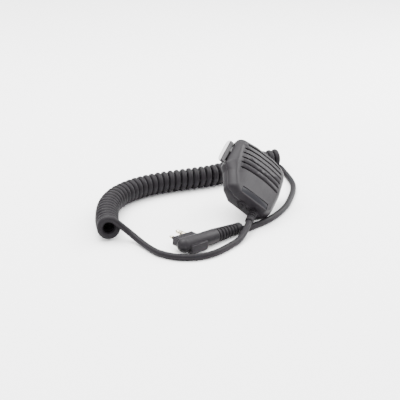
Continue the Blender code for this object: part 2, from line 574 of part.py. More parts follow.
# ---- rear clip ----------------------------------------------------------------------
def make_clip(housing):
    at = (0, CLIP_PIVOT_Y, 0)
    top = REAR_Z - GAP
    detent = tube(9.0, 3.1, top - DETENT_THICK, top, 24)
    piece("clip_detent_plate", detent, DARK_STEEL, housing, at)
    face = top - DETENT_THICK - GAP
    washer_top = face - CLIP_PLATE_THICK - GAP
    washer_low = washer_top - WASHER_THICK
    head = washer_low - GAP
    stud = turned([(0, 0.4), (2.6, 0.4), (2.6, head), (4.4, head), (4.4, head - 0.9),
                   (1.2, head - 0.9), (1.2, head - 0.5), (0, head - 0.5)], 20)
    piece("clip_pivot_screw", stud, STEEL, housing, at)
    clip_frame = frame("clip_frame", housing, at, (0, 0, CLIP_TURN_DEGREES))
    half = CLIP_HALF_WIDTH
    hinge_y, hinge_z = CLIP_HINGE
    hinge = (0, hinge_y, hinge_z)
    low_y, high_y = CLIP_PLATE_Y
    outline = rounded([(half, low_y, 3.0), (half, high_y, 4.0), (-half, high_y, 4.0),
                       (-half, low_y, 3.0)], 3)
    plate = loft([flat_ring(outline, face), flat_ring(outline, face - CLIP_PLATE_THICK)])
    clip = piece("clip_plate", plate, BLACK, clip_frame)
    ears = []
    for side, low in (("left", -half), ("right", half - CLIP_EAR_THICK)):
        profile = rounded([(hinge_z - 2.0, hinge_y + 3.2, 2.0), (face - 0.6, hinge_y + 4.2, 0.2),
                           (face - 0.6, hinge_y - 4.2, 0.2), (hinge_z - 2.0, hinge_y - 3.2, 2.0)], 3)
        ear = loft([[(x, y, z) for z, y in profile] for x in (low, low + CLIP_EAR_THICK)])
        ears.append(piece(f"clip_ear_{side}", ear, CUTTER, clip_frame))
    combine(clip, ears, "UNION")
    pivot_hole = piece("clip_plate_hole", rod(2.9, face - 3, face + 1, 20), CUTTER, clip_frame)
    pin_hole = piece("clip_pin_hole", rod(1.3, -15, 15, 12, "X"), CUTTER, clip_frame, hinge)
    combine(clip, [pivot_hole, pin_hole], "DIFFERENCE")
    piece("clip_wave_washer", tube(4.2, 2.9, washer_low, washer_top, 20), STEEL, housing, at)
    pin = turned([(0, -half - 0.9), (1.7, -half - 0.9), (1.7, -half - GAP), (1.0, -half - GAP),
                  (1.0, half + GAP), (1.7, half + GAP), (1.7, half + 0.9), (0, half + 0.9)], 12, "X")
    piece("clip_hinge_pin", pin, STEEL, clip_frame, hinge)
    piece("clip_spring", tube(2.0, 1.4, -4.4, 4.4, 16, "X"), STEEL, clip_frame, hinge)
    inner = half - CLIP_EAR_THICK - GAP
    section = [(-32.3, 1.4), (-27.0, -0.6), (-4.0, -4.0), (7.6, -4.8), (9.0, -4.6), (9.0, -3.4),
               (2.0, -2.6), (-3.0, -2.5), (-25.5, 1.1), (-30.8, 3.2), (-32.3, 2.8)]
    lever = loft([[(x, y, z) for y, z in section] for x in (-inner, inner)])
    jaw = piece("clip_jaw", lever, BLACK, clip_frame, hinge)
    knuckles = []
    for side, low in (("left", -inner), ("right", inner - 3.4)):
        knuckle = rod(2.1, low, low + 3.4, 16, "X")
        web = block((low, -1.6, -3.2), (low + 3.4, 1.6, -1.2))
        knuckles.append(piece(f"jaw_knuckle_{side}", knuckle, CUTTER, clip_frame, hinge))
        knuckles.append(piece(f"jaw_web_{side}", web, CUTTER, clip_frame, hinge))
    combine(jaw, knuckles, "UNION")
    bore = piece("jaw_bore", rod(1.3, -15, 15, 12, "X"), CUTTER, clip_frame, hinge)
    combine(jaw, [bore], "DIFFERENCE")


# ---- plug ---------------------------------------------------------------------------
def make_plug():
    """In the plug's frame x runs from the domed end to the cord and y out along the pins."""
    at = frame("plug_frame", None, shift(PLUG_AT), PLUG_TURN_DEGREES)
    barrel = [(0, -PLUG_RADIUS)]
    for step in range(1, 5):
        angle = math.pi / 2 * step / 4
        barrel.append((PLUG_RADIUS * math.sin(angle), -PLUG_RADIUS * math.cos(angle)))
    barrel += [(PLUG_RADIUS, 12.0), (PLUG_RADIUS + 0.2, PLUG_BARREL - 1.2),
               (PLUG_RADIUS - 0.4, PLUG_BARREL), (0, PLUG_BARREL)]
    shell_piece = piece("plug_shell", turned(barrel, 24, "X"), BLACK, at)
    pad = block((1.4, -6.2, -5.7), (17.8, -2.0, 1.4))
    bmesh.ops.bevel(pad, geom=pad.edges[:], offset=0.5, segments=1, affect="EDGES")
    pad_piece = piece("plug_grip_shape", pad, CUTTER, at)
    combine(shell_piece, [pad_piece], "UNION")
    seat = piece("plug_block_seat", block((-1.6, 2.6, -3.5), (17.7, 9.0, 3.5)), CUTTER, at)
    combine(shell_piece, [seat], "DIFFERENCE")
    head = block((-1.3, 2.9, -3.2), (17.4, PIN_FACE, 3.2))
    bmesh.ops.bevel(head, geom=head.edges[:], offset=0.5, segments=1, affect="EDGES")
    pin_block = piece("plug_pin_block", head, BLACK, at)
    sockets = []
    for name, along, radius, length in PINS:
        face = PIN_FACE + GAP
        groove = length * 0.4
        sleeve = turned([(0, face - 5.0), (radius * 0.7, face - 5.0), (radius * 0.7, face),
                         (radius, face), (radius, face + groove), (0, face + groove)], 16, "Y")
        piece(f"{name}_pin_sleeve", sleeve, GOLD, at, (along, 0, 0))
        ring = rod(radius, face + groove + 0.1, face + groove + 0.8, 16, "Y")
        piece(f"{name}_pin_insulator", ring, INSULATOR, at, (along, 0, 0))
        rest = groove + 0.9
        tip = turned([(0, face + rest), (radius, face + rest), (radius, face + length - radius * 2.6),
                      (radius * 0.72, face + length - radius * 2.1),
                      (radius * 0.86, face + length - radius * 1.5),
                      (radius * 0.8, face + length - radius * 0.9), (radius * 0.3, face + length),
                      (0, face + length)], 16, "Y")
        piece(f"{name}_pin_tip", tip, GOLD, at, (along, 0, 0))
        hole = rod(radius * 0.7 + GAP, face - 5.0 - GAP, face + 2, 16, "Y")
        sockets.append(piece(f"{name}_pin_socket", shifted(hole, (along, 0, 0)), CUTTER, at))
    combine(pin_block, sockets, "DIFFERENCE")
    wide, narrow = RELIEF_RADII
    relief = [(0, PLUG_BARREL + GAP), (wide, PLUG_BARREL + GAP)]
    for number in range(RELIEF_GROOVES):
        start = PLUG_BARREL + GAP + 2.0 + RELIEF_PITCH * number
        radius = wide - (wide - narrow) * (number + 0.5) / RELIEF_GROOVES
        relief += [(radius, start), (radius - 0.9, start + 0.3), (radius - 0.9, start + 1.2),
                   (radius, start + 1.5)]
    end = PLUG_BARREL + PLUG_RELIEF
    relief += [(narrow, end - 1.4), (3.6, end), (0, end)]
    piece("plug_relief", turned(relief, 16, "X"), RUBBER, at)


# ---- cord ---------------------------------------------------------------------------
def shift(point):
    return (point[0] + TABLE_SHIFT[0], point[1] + TABLE_SHIFT[1], point[2])


def smooth(route, spacing):
    """Evenly spaced points on a Catmull-Rom curve through the route's points."""
    points = [Vector(point) for point in route]
    points = [points[0] * 2 - points[1]] + points + [points[-1] * 2 - points[-2]]
    fine = []
    for p0, p1, p2, p3 in zip(points, points[1:], points[2:], points[3:]):
        for step in range(20):
            t = step / 20
            fine.append(0.5 * (2 * p1 + (p2 - p0) * t + (2 * p0 - 5 * p1 + 4 * p2 - p3) * t * t
                               + (3 * p1 - p0 - 3 * p2 + p3) * t ** 3))
    fine.append(points[-2])
    lengths = [0.0]
    for first, second in zip(fine, fine[1:]):
        lengths.append(lengths[-1] + (second - first).length)
    count = max(2, round(lengths[-1] / spacing))
    result = []
    index = 0
    for k in range(count + 1):
        goal = lengths[-1] * k / count
        while index < len(fine) - 2 and lengths[index + 1] < goal:
            index += 1
        share = (goal - lengths[index]) / (lengths[index + 1] - lengths[index])
        result.append(fine[index].lerp(fine[index + 1], share))
    return result


def make_cord(name, route, radius, spacing, skin, resolution):
    curve = bpy.data.curves.new(name, "CURVE")
    curve.dimensions = "3D"
    curve.bevel_depth = radius * MM
    curve.bevel_resolution = resolution
    curve.use_fill_caps = True
    points = smooth([shift(point) for point in route], spacing)
    spline = curve.splines.new("POLY")
    spline.points.add(len(points) - 1)
    for target, point in zip(spline.points, points):
        target.co = (*(point * MM), 1.0)
    curve.materials.append(material(*skin))
    made = bpy.data.objects.new(name, curve)
    bpy.context.scene.collection.objects.link(made)
    return made


def build():
    clear_scene()
    housing = frame("housing_frame", None, shift(HOUSING_AT), HOUSING_TURN_DEGREES)
    floor = make_front_case(housing)
    make_rear_case(housing)
    cut_shared_openings(housing)
    make_gasket(housing)
    make_name_strip(housing, floor)
    make_case_screws(housing)
    make_speaker(housing)
    make_board(housing)
    make_microphone(housing)
    make_jack(housing)
    make_gland(housing)
    make_button(housing)
    make_clip(housing)
    make_plug()
    make_cord("cord_tail_1", TAIL_1_ROUTE, CORD_RADIUS, TUBE_SPACING, CORD_SKIN, 2)
    make_cord("cord_coil", COIL_ROUTE, COIL_RADIUS, COIL_SPACING, CORD_SKIN, 4)
    make_cord("cord_tail_2", TAIL_2_ROUTE, CORD_RADIUS, TUBE_SPACING, CORD_SKIN, 2)


build()
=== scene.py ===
import math

import bmesh
import bpy
from mathutils import Euler, Matrix, Vector


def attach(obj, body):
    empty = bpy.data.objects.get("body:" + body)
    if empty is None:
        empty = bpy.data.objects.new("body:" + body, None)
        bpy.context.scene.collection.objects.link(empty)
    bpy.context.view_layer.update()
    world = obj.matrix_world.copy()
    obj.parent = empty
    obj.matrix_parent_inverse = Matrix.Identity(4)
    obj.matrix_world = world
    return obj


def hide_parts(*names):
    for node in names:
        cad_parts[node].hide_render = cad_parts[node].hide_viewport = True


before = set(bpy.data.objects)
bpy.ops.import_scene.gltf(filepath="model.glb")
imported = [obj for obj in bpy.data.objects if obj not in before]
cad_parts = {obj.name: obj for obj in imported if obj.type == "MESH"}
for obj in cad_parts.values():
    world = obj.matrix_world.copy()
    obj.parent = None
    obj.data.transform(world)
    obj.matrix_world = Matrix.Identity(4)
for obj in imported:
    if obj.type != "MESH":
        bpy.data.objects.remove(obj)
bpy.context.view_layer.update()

# All measures are millimetres in the frame named beside them; MM turns them into metres.
MM = 0.001
TABLE_SHIFT = Vector((-39.8, 25.2, 0.0))
UNIT = Vector((1.0, 1.0, 1.0))


def pose(at, turn):
    """The place of a frame given before the shift that puts the origin under the housing."""
    angles = Euler([math.radians(angle) for angle in turn])
    return Matrix.LocRotScale((Vector(at) + TABLE_SHIFT) * MM, angles, UNIT)


def inside(parent, at, turn=(0, 0, 0)):
    angles = Euler([math.radians(angle) for angle in turn])
    return parent @ Matrix.LocRotScale(Vector(at) * MM, angles, UNIT)


HOUSING = pose((32.1, -50.6, 12.72), (27.4, 39.9, 7.0))
PLUG = pose((-10.9, -102.8, 7.5), (0.0, 3.3, 43.6))
PTT = inside(HOUSING, (-25.65, 39.0, 1.0), (0, 0, -9.5))
PIVOT = inside(HOUSING, (0, 33.0, 0))
CLIP = inside(PIVOT, (0, 0, 0), (0, 0, 35.0))
HINGE = inside(CLIP, (0, 8.0, -9.6))
GLAND = inside(HOUSING, (6.8, 0, 3.9), (0, 0, -9.0))
JACK = inside(HOUSING, (-4.3, 0, 2.3))


# ---- camera and light ---------------------------------------------------------------
CAMERA_LENS = 86.8
CAMERA_SENSOR = 36.0
CAMERA_OFFSET = Vector((0.0, -0.7139, 0.2884))              # metres from the point it looks at
SKY_LOW, SKY_HIGH = 0.5, 5.0
FLOOR_HALF_SIZE = 3.0


def add_camera():
    data = bpy.data.cameras.new("camera")
    data.lens = CAMERA_LENS
    data.sensor_width = CAMERA_SENSOR
    camera = bpy.data.objects.new("camera", data)
    bpy.context.scene.collection.objects.link(camera)
    target = TABLE_SHIFT * MM
    camera.location = target + CAMERA_OFFSET
    camera.rotation_euler = (target - camera.location).to_track_quat("-Z", "Y").to_euler()
    bpy.context.scene.camera = camera


def add_light(name, at, aim, size, watts):
    """A white disk lamp; places and size in metres."""
    data = bpy.data.lights.new(name, "AREA")
    data.shape = "DISK"
    data.size = size
    data.energy = watts
    light = bpy.data.objects.new(name, data)
    bpy.context.scene.collection.objects.link(light)
    light.location = Vector(at)
    light.rotation_euler = (Vector(aim) - light.location).to_track_quat("-Z", "Y").to_euler()


def add_studio():
    world = bpy.data.worlds.new("studio")
    bpy.context.scene.world = world
    world.use_nodes = True
    background = world.node_tree.nodes["Background"]
    background.inputs["Color"].default_value = (1.0, 1.0, 1.0, 1.0)
    nodes, links = world.node_tree.nodes, world.node_tree.links
    towards = nodes.new("ShaderNodeTexCoord")
    parts = nodes.new("ShaderNodeSeparateXYZ")
    height = nodes.new("ShaderNodeMapRange")
    height.inputs["To Min"].default_value = SKY_LOW
    height.inputs["To Max"].default_value = SKY_HIGH
    links.new(towards.outputs["Generated"], parts.inputs["Vector"])
    links.new(parts.outputs["Z"], height.inputs["Value"])
    links.new(height.outputs["Result"], background.inputs["Strength"])
    add_light("key", (0.6, 0.42, 0.45), (0, 0, 0.02), 0.6, 10.0)
    add_light("top", (-0.3, 0.2, 1.0), (0, 0, 0.0), 0.9, 21.0)
    shape = bmesh.new()
    bmesh.ops.create_grid(shape, x_segments=1, y_segments=1, size=FLOOR_HALF_SIZE)
    mesh = bpy.data.meshes.new("floor")
    shape.to_mesh(mesh)
    shape.free()
    floor = bpy.data.objects.new("floor", mesh)
    bpy.context.scene.collection.objects.link(floor)
    skin = bpy.data.materials.new("floor_white")
    skin.use_nodes = True
    shader = skin.node_tree.nodes["Principled BSDF"]
    shader.inputs["Base Color"].default_value = (0.98, 0.98, 0.98, 1.0)
    shader.inputs["Roughness"].default_value = 0.9
    shader.inputs["Specular IOR Level"].default_value = 0.1
    mesh.materials.append(skin)


# ---- materials ----------------------------------------------------------------------
ROUGH_SPREAD = 0.1


def moulded(name, dark, light, rough, grain, bump, metallic=0.0, coat=0.0, scuff=None, level=0.5):
    """A Principled material with two noises: a soft colour drift and a fine surface grain."""
    made = bpy.data.materials.new(name)
    made.use_nodes = True
    nodes, links = made.node_tree.nodes, made.node_tree.links
    shader = nodes["Principled BSDF"]
    shader.inputs["Metallic"].default_value = metallic
    shader.inputs["Coat Weight"].default_value = coat
    shader.inputs["Coat Roughness"].default_value = 0.25
    shader.inputs["Specular IOR Level"].default_value = level
    where = nodes.new("ShaderNodeTexCoord")
    drift = nodes.new("ShaderNodeTexNoise")
    drift.inputs["Scale"].default_value = 90.0
    drift.inputs["Detail"].default_value = 4.0
    fine = nodes.new("ShaderNodeTexNoise")
    fine.inputs["Scale"].default_value = grain
    fine.inputs["Detail"].default_value = 3.0
    for texture in (drift, fine):
        links.new(where.outputs["Object"], texture.inputs["Vector"])
    colour = nodes.new("ShaderNodeMix")
    colour.data_type = "RGBA"
    colour.inputs[6].default_value = (*dark, 1.0)
    colour.inputs[7].default_value = (*light, 1.0)
    links.new(drift.outputs["Fac"], colour.inputs["Factor"])
    result = colour.outputs[2]
    if scuff:
        edge = nodes.new("ShaderNodeNewGeometry")
        band = nodes.new("ShaderNodeMapRange")
        band.inputs["From Min"].default_value = 0.53
        band.inputs["From Max"].default_value = 0.62
        band.inputs["To Max"].default_value = 0.55
        links.new(edge.outputs["Pointiness"], band.inputs["Value"])
        worn = nodes.new("ShaderNodeMix")
        worn.data_type = "RGBA"
        worn.inputs[7].default_value = (*scuff, 1.0)
        links.new(band.outputs["Result"], worn.inputs["Factor"])
        links.new(result, worn.inputs[6])
        result = worn.outputs[2]
    links.new(result, shader.inputs["Base Color"])
    span = nodes.new("ShaderNodeMapRange")
    span.inputs["To Min"].default_value = max(rough - ROUGH_SPREAD, 0.03)
    span.inputs["To Max"].default_value = min(rough + ROUGH_SPREAD, 1.0)
    links.new(drift.outputs["Fac"], span.inputs["Value"])
    links.new(span.outputs["Result"], shader.inputs["Roughness"])
    relief = nodes.new("ShaderNodeBump")
    relief.inputs["Strength"].default_value = bump
    relief.inputs["Distance"].default_value = 0.0001
    links.new(fine.outputs["Fac"], relief.inputs["Height"])
    links.new(relief.outputs["Normal"], shader.inputs["Normal"])
    return made


def brushed(name, colour, rough):
    """Bare or plated metal with fine turning marks."""
    made = moulded(name, colour, [c * 0.9 for c in colour], rough, 2500.0, 0.1, metallic=1.0)
    nodes, links = made.node_tree.nodes, made.node_tree.links
    where = nodes["Texture Coordinate"]
    squeeze = nodes.new("ShaderNodeMapping")
    squeeze.inputs["Scale"].default_value = (1.0, 1.0, 30.0)
    lines = nodes.new("ShaderNodeTexNoise")
    lines.inputs["Scale"].default_value = 900.0
    links.new(where.outputs["Object"], squeeze.inputs["Vector"])
    links.new(squeeze.outputs["Vector"], lines.inputs["Vector"])
    links.new(lines.outputs["Fac"], nodes["Bump"].inputs["Height"])
    return made


HOUSING_BLACK = moulded("housing_black", (0.0052, 0.0041, 0.0056), (0.0085, 0.007, 0.009),
                        0.48, 2400.0, 0.5, level=0.18, scuff=(0.024, 0.021, 0.025))
RUBBER_BLACK = moulded("rubber_black", (0.0045, 0.0036, 0.0048), (0.0072, 0.006, 0.0076),
                       0.62, 1800.0, 0.3, level=0.18)
CORD_BLACK = moulded("cord_black", (0.0052, 0.0042, 0.0056), (0.0078, 0.0065, 0.0083),
                     0.55, 1500.0, 0.15, level=0.14)
BUTTON_BLACK = moulded("button_black", (0.0065, 0.0052, 0.007), (0.009, 0.0075, 0.0095),
                       0.5, 2600.0, 0.3, level=0.2)
# Painted highlight: the pad's light grey stands in for the dark glossy button face reflecting the
# bright surroundings.
PAD_PAINTED_HIGHLIGHT = moulded("button_pad_grey", (0.42, 0.41, 0.42), (0.5, 0.49, 0.5), 0.35, 2200.0, 0.15,
                   coat=0.1)
STRIP_BLUE = moulded("strip_blue_grey", (0.004, 0.004, 0.006), (0.006, 0.006, 0.009),
                     0.4, 3000.0, 0.1, level=0.16)
GOLD = brushed("contact_gold", (0.76, 0.69, 0.53), 0.25)
STEEL = brushed("bright_steel", (0.55, 0.55, 0.56), 0.28)
DARK_STEEL = brushed("dark_steel", (0.08, 0.08, 0.085), 0.38)
BOARD_GREEN = moulded("board_green", (0.01, 0.07, 0.03), (0.02, 0.11, 0.045), 0.4, 1400.0, 0.2,
                      coat=0.3)
FELT = moulded("felt_black", (0.002, 0.002, 0.002), (0.005, 0.005, 0.005), 0.95, 3200.0, 1.0,
               level=0.1)
CONE_PAPER = moulded("cone_paper", (0.02, 0.02, 0.021), (0.03, 0.03, 0.031), 0.85, 1200.0, 0.8)
INSULATOR = moulded("insulator_black", (0.008, 0.008, 0.008), (0.012, 0.012, 0.012),
                    0.5, 2500.0, 0.2, level=0.3)


# ---- shape helpers ------------------------------------------------------------------
def circle(radius, count):
    return [(radius * math.cos(math.tau * k / count), radius * math.sin(math.tau * k / count))
            for k in range(count)]


def rounded(corners, steps):
    """Rounds each corner (x, y, radius) of a closed polygon with an arc of steps pieces."""
    points = []
    for index, (x, y, radius) in enumerate(corners):
        here = Vector((x, y))
        before = (Vector(corners[index - 1][:2]) - here).normalized()
        after = (Vector(corners[(index + 1) % len(corners)][:2]) - here).normalized()
        half = before.angle(after) / 2
        tangent = min(radius / math.tan(half), 5.0)
        radius = tangent * math.tan(half)
        centre = here + (before + after).normalized() * (radius / math.sin(half))
        start = here + before * tangent - centre
        sweep = start.angle_signed(here + after * tangent - centre)
        for step in range(steps + 1):
            turned_to = Matrix.Rotation(-sweep * step / steps, 2) @ start
            points.append((centre.x + turned_to.x, centre.y + turned_to.y))
    return points


def between(outer, inner, share):
    """Corners at a share of the way from one list of corners to another."""
    return [tuple(a + (b - a) * share for a, b in zip(first, second))
            for first, second in zip(outer, inner)]


def moved_in(points, distance):
    """An anticlockwise outline drawn in by a distance, point by point."""
    result = []
    count = len(points)
    for index, (x, y) in enumerate(points):
        ahead = points[(index + 1) % count]
        behind = points[index - 1]
        along = Vector((ahead[0] - behind[0], ahead[1] - behind[1])).normalized()
        result.append((x - along.y * distance, y + along.x * distance))
    return result


def loft(rings, closed=False):
    """Skins rings of equal length; the last joins the first if closed, or both get a cap."""
    shape = bmesh.new()
    loops = [[shape.verts.new(point) for point in ring] for ring in rings]
    pairs = list(zip(loops, loops[1:]))
    if closed:
        pairs.append((loops[-1], loops[0]))
    for first, second in pairs:
        count = len(first)
        for k in range(count):
            shape.faces.new((first[k], first[(k + 1) % count], second[(k + 1) % count], second[k]))
    if not closed:
        shape.faces.new(loops[0])
        shape.faces.new(loops[-1])
    return shape


def turned(profile, sides=40, axis="Z"):
    """Turns a profile of (radius, height) about an axis; a radius of 0 closes it there."""
    shape = bmesh.new()
    loops = []
    for radius, height in profile:
        if radius == 0:
            loops.append([shape.verts.new((0, 0, height))])
        else:
            loops.append([shape.verts.new((x, y, height)) for x, y in circle(radius, sides)])
    if profile[0][0] > 0 and profile[0] == profile[-1]:
        loops[-1] = loops[0]
    for first, second in zip(loops, loops[1:]):
        for k in range(sides):
            following = (k + 1) % sides
            if len(first) == 1:
                shape.faces.new((first[0], second[k], second[following]))
            elif len(second) == 1:
                shape.faces.new((first[k], first[following], second[0]))
            else:
                shape.faces.new((first[k], first[following], second[following], second[k]))
    turns = {"Z": Matrix.Identity(3), "X": Matrix.Rotation(math.pi / 2, 3, "Y"),
             "Y": Matrix.Rotation(-math.pi / 2, 3, "X")}
    bmesh.ops.transform(shape, matrix=turns[axis].to_4x4(), verts=shape.verts)
    return shape


def block(low, high):
    shape = bmesh.new()
    size = Vector(high) - Vector(low)
    place = Matrix.Translation((Vector(high) + Vector(low)) / 2) @ Matrix.Diagonal((*size, 1))
    bmesh.ops.create_cube(shape, size=1.0, matrix=place)
    return shape


def joined(*shapes):
    """Several separate closed shapes as one mesh."""
    whole = bmesh.new()
    for shape in shapes:
        spare = bpy.data.meshes.new("spare")
        shape.to_mesh(spare)
        shape.free()
        whole.from_mesh(spare)
        bpy.data.meshes.remove(spare)
    return whole


def dress(made, body, slot, *nodes):
    """Ties a finished object to its body, and to the nodes it stands for; the slot argument is not
    used.
    """
    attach(made, body)
    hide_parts(*nodes)


def piece(name, shape, skin, place, body=None, stands_for=(), slot=None, sharp=35.0):
    """A bmesh in millimetres, in the frame called place, as a named object riding on a body."""
    bmesh.ops.scale(shape, vec=(MM, MM, MM), verts=shape.verts)
    bmesh.ops.remove_doubles(shape, verts=shape.verts, dist=1e-7)
    bmesh.ops.recalc_face_normals(shape, faces=shape.faces)
    mesh = bpy.data.meshes.new(name)
    shape.to_mesh(mesh)
    shape.free()
    mesh.materials.append(skin)
    mesh.shade_smooth()
    mesh.set_sharp_from_angle(angle=math.radians(sharp))
    made = bpy.data.objects.new(name, mesh)
    bpy.context.scene.collection.objects.link(made)
    made.matrix_world = place
    if body:
        dress(made, body, slot, *stands_for)
    return made


def cut(target, cutters, operation="DIFFERENCE"):
    """Applies exact booleans at once and removes the helpers."""
    for cutter in cutters:
        step = target.modifiers.new("cut", "BOOLEAN")
        step.object = cutter
        step.operation = operation
        step.solver = "EXACT"
    bpy.context.view_layer.update()
    seen = target.evaluated_get(bpy.context.evaluated_depsgraph_get())
    mesh = bpy.data.meshes.new_from_object(seen)
    target.modifiers.clear()
    target.data = mesh
    mesh.shade_smooth()
    mesh.set_sharp_from_angle(angle=math.radians(48))
    for cutter in cutters:
        bpy.data.objects.remove(cutter)


def tube(name, points, radius, resolution, skin):
    """A round tube of a radius in millimetres along points in metres."""
    data = bpy.data.curves.new(name, "CURVE")
    data.dimensions = "3D"
    data.bevel_depth = radius * MM
    data.bevel_resolution = resolution
    data.use_fill_caps = True
    line = data.splines.new("POLY")
    line.points.add(len(points) - 1)
    for target, point in zip(line.points, points):
        target.co = (*point, 1.0)
    line.use_smooth = True
    data.materials.append(skin)
    made = bpy.data.objects.new(name, data)
    bpy.context.scene.collection.objects.link(made)
    return made


# ---- cord ---------------------------------------------------------------------------
CORD_RADIUS = 2.4
COIL_WIRE_RADIUS = 6.45
COIL_TURNS = 42.5
COIL_STEPS = 20
COIL_FIRST_PITCH = 5.0                     # before the pitches are scaled to the number of turns
COIL_PITCH_GROWTH = 0.65                   # over the whole coil
TAIL_SPACING = 3.0
COIL_SPACING = 0.4
TAIL_1_ROUTE = [(36.2, -62.3, 8.0), (35.8, -63.6, 7.7), (34.7, -67.3, 6.7), (33.1, -71.6, 5.3),
                (30.8, -77.2, 3.7), (27.2, -84.4, 2.6), (18.9, -95.4, 2.45),
                (11.6, -103.6, 2.45), (3.0, -109.4, 2.45), (-6.9, -111.7, 2.45),
                (-17.9, -110.6, 2.45), (-28.0, -105.2, 2.45), (-33.9, -98.8, 2.45),
                (-38.9, -91.8, 2.6), (-43.2, -85.8, 3.2), (-47.3, -81.2, 4.6),
                (-51.4, -78.4, 7.0), (-55.5, -77.2, 10.0), (-59.2, -77.1, 13.2),
                (-62.4, -77.4, 15.8)]
COIL_ROUTE = [(-65.4, -79.0, 10.4), (-65.8, -76.6, 9.85), (-66.4, -73.0, 9.2),
              (-67.2, -69.0, 8.97), (-67.9, -65.0, 8.95),
              (-68.6, -60.0, 8.95), (-69.6, -44.8, 8.95), (-68.9, -31.5, 8.95),
              (-65.0, -17.5, 8.95), (-58.5, -6.4, 8.95), (-50.0, 3.0, 8.95),
              (-39.5, 10.8, 8.95), (-27.4, 17.2, 8.95), (-14.5, 22.4, 8.95), (0.0, 28.2, 8.95),
              (12.0, 33.8, 8.95), (28.0, 45.4, 8.95), (45.0, 58.8, 8.95), (53.0, 65.5, 8.95),
              (60.5, 70.0, 8.95), (67.1, 73.2, 8.95)]
TAIL_2_ROUTE = [(68.2, 71.2, 2.45), (69.8, 67.0, 2.45), (71.1, 60.6, 2.45), (74.5, 45.0, 2.45),
                (76.5, 29.5, 2.45), (74.9, 11.5, 2.45), (69.2, -12.1, 2.45), (64.9, -23.6, 2.45),
                (59.6, -34.0, 2.45), (52.2, -45.0, 2.45), (45.6, -52.2, 2.45),
                (39.2, -58.0, 2.45), (35.4, -61.9, 2.4), (32.7, -63.3, 2.6), (30.3, -64.2, 3.8),
                (29.0, -65.0, 4.3)]


def spline(route, spacing):
    """Evenly spaced points on a Catmull-Rom curve through the route's points."""
    points = [Vector(point) for point in route]
    points = [points[0] * 2 - points[1]] + points + [points[-1] * 2 - points[-2]]
    fine = []
    for p0, p1, p2, p3 in zip(points, points[1:], points[2:], points[3:]):
        for step in range(20):
            t = step / 20
            fine.append(0.5 * (2 * p1 + (p2 - p0) * t + (2 * p0 - 5 * p1 + 4 * p2 - p3) * t * t
                               + (3 * p1 - p0 - 3 * p2 + p3) * t ** 3))
    fine.append(points[-2])
    lengths = [0.0]
    for first, second in zip(fine, fine[1:]):
        lengths.append(lengths[-1] + (second - first).length)
    count = max(2, round(lengths[-1] / spacing))
    result = []
    index = 0
    for k in range(count + 1):
        goal = lengths[-1] * k / count
        while index < len(fine) - 2 and lengths[index + 1] < goal:
            index += 1
        share = (goal - lengths[index]) / (lengths[index + 1] - lengths[index])
        result.append(fine[index].lerp(fine[index + 1], share))
    return result


def coil_points():
    """The curly part: starts on top of its first turn and ends at the bottom of its last."""
    middle = spline(COIL_ROUTE, COIL_SPACING)
    last = len(middle) - 1
    weights = [1.0 / (COIL_FIRST_PITCH + COIL_PITCH_GROWTH * k / last) for k in range(last + 1)]
    total = sum(weights)
    count = round(COIL_TURNS * COIL_STEPS)
    points = []
    reached = 0.0
    k = 0
    for step in range(count + 1):
        goal = total * step / count
        while k < last and reached + weights[k] < goal:
            reached += weights[k]
            k += 1
        share = min(max((goal - reached) / weights[k], 0.0), 1.0)
        ahead = middle[min(k + 1, last)]
        centre = middle[k].lerp(ahead, share)
        along = (middle[min(k + 3, last)] - middle[max(k - 3, 0)]).normalized()
        side = along.cross(Vector((0, 0, 1))).normalized()
        up = side.cross(along)
        angle = math.tau * COIL_TURNS * step / count
        points.append(centre + COIL_WIRE_RADIUS * (up * math.cos(angle) - side * math.sin(angle)))
    return points


def add_cord():
    """The whole cord as one tube; returns it and its start."""
    points = (spline(TAIL_1_ROUTE, TAIL_SPACING) + coil_points()
              + spline(TAIL_2_ROUTE, TAIL_SPACING))
    points = [(point + TABLE_SHIFT) * MM for point in points]
    cord = tube("cord", points, CORD_RADIUS, 4, CORD_BLACK)
    dress(cord, "housing", "cord", "cord_tail_1", "cord_coil", "cord_tail_2")
    return cord, points[0]


# ---- housing shells -----------------------------------------------------------------
CROWN_TOP_Z = 16.4
PARTING_CORNERS = [(13.3, 0.0, 2.6), (19.8, 5.0, 5.0), (24.2, 26.0, 22.0), (26.0, 46.0, 10.0),
                   (24.2, 57.5, 6.0), (10.0, 61.3, 18.0), (-10.0, 61.3, 18.0), (-22.4, 59.0, 5.0),
                   (-23.3, 53.0, 6.0), (-28.0, 25.4, 3.6), (-24.6, 20.0, 3.0), (-20.6, 4.5, 5.0),
                   (-13.3, 0.0, 2.6)]
CREST_CORNERS = [(12.0, 0.0, 2.6), (15.6, 5.6, 5.0), (19.8, 26.0, 22.0), (21.2, 46.0, 10.0),
                 (19.2, 51.4, 6.0), (9.0, 53.6, 18.0), (-9.0, 53.6, 18.0), (-18.2, 52.0, 5.0),
                 (-20.8, 48.0, 6.0), (-20.6, 30.0, 6.0), (-19.0, 18.0, 8.0), (-15.6, 5.6, 5.0),
                 (-12.0, 0.0, 2.6)]
REAR_CORNERS = [(13.0, 0.8, 2.6), (17.0, 7.4, 5.0), (20.6, 26.0, 22.0), (22.0, 46.0, 10.0),
                (20.6, 54.4, 6.0), (9.0, 57.6, 18.0), (-9.0, 57.6, 18.0), (-19.0, 55.6, 5.0),
                (-20.6, 50.0, 6.0), (-23.4, 27.0, 3.0), (-21.0, 22.0, 3.0), (-17.0, 7.4, 5.0),
                (-13.0, 0.8, 2.6)]
CORNER_STEPS = 7
EDGE_STEP = 0.15                                            # the fine step along the parting line
SHOULDER = (0.72, 12.45)                                    # where the side turns over into the face
FACE_MIDDLE_Y = 28.0
VALLEY = [Vector((-18.9, 47.0)), Vector((-20.0, 36.0)), Vector((-18.5, 24.0)), Vector((-17.9, 12.0))]
VALLEY_DEPTH = 1.25
VALLEY_WIDTH = 2.2
